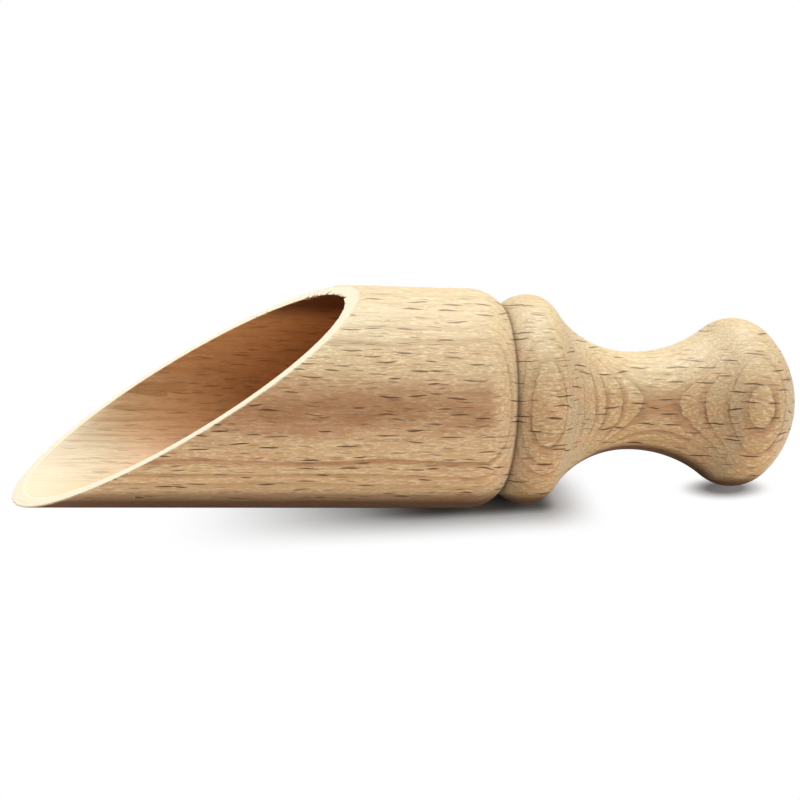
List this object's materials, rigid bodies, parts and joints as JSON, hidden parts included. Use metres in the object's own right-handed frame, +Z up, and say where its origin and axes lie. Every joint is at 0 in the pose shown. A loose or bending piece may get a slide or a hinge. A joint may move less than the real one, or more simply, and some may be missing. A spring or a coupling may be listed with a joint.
{
  "type": "measuring scoop",
  "caption": "Turned beech scoop for measuring dry goods, with a slanted-mouth cylindrical cup and a waisted handle ending in a round knob.",
  "frame": {"origin": "on the table, under the middle of the scoop's box, with the scoop lying on the cup's back edge and the collar", "axes": "+X along the scoop from the lip to the knob, +Y across it, +Z up from the table; the turning axis drops towards the knob by about 4 degrees"},
  "size_m": [0.1438, 0.04, 0.0413],
  "materials": {
    "cup_beech": "sanded, unfinished",
    "handle_beech": "turned and sanded, unfinished"
  },
  "bodies": {
    "root": {"scoop_cup": "cup_beech", "turned_handle": "handle_beech"}
  },
  "joints": []
}
